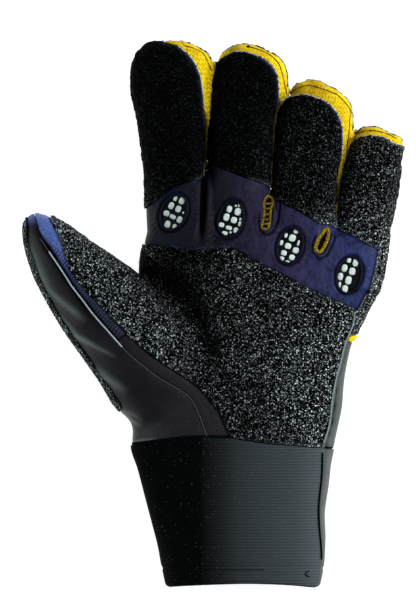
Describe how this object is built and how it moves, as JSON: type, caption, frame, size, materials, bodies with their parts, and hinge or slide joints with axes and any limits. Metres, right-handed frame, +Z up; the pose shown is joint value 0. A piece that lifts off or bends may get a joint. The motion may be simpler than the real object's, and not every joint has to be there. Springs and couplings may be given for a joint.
{
  "type": "shooting glove",
  "caption": "Full-finger left-hand glove with pebbled grip pads, knit finger gussets, dotted vent windows across the finger bases and a ribbed elastic cuff.",
  "frame": {"origin": "middle of the flat underside on which the glove lies on its back, at z = 0", "axes": "+Y from the cuff to the fingertips, -X towards the thumb, +Z up out of the palm"},
  "size_m": [0.1838, 0.263, 0.0503],
  "materials": {
    "grip_rubber": "pebbled, slightly glossy",
    "navy_leather": "soft sheen, puckered along its seams",
    "blue_leather": "soft sheen, gathered",
    "black_leather": "soft sheen, creased",
    "grey_leather": "matt, fine grain",
    "yellow_knit": "matt knit",
    "elastic": "matt, ribbed",
    "dot_insert": "satin dots on a dark ground"
  },
  "bodies": {
    "root": {"grip_index": "grip_rubber", "gusset_index": "yellow_knit", "grip_middle": "grip_rubber", "gusset_middle": "yellow_knit", "grip_ring": "grip_rubber", "gusset_ring": "yellow_knit", "grip_little": "grip_rubber", "gusset_little": "yellow_knit", "finger_band": "navy_leather", "window_insert_index": "dot_insert", "window_insert_middle": "dot_insert", "window_insert_ring": "dot_insert", "window_insert_little": "dot_insert", "gusset_end_middle": "yellow_knit", "gusset_end_ring": "yellow_knit", "palm_grip": "grip_rubber", "heel_strip": "black_leather", "thumb_tip": "blue_leather", "thumb_side": "black_leather", "thumb_back_grip": "grip_rubber", "side_tab": "yellow_knit", "back_panel": "grey_leather", "cuff_elastic": "elastic", "cuff_back": "grey_leather"}
  },
  "joints": []
}
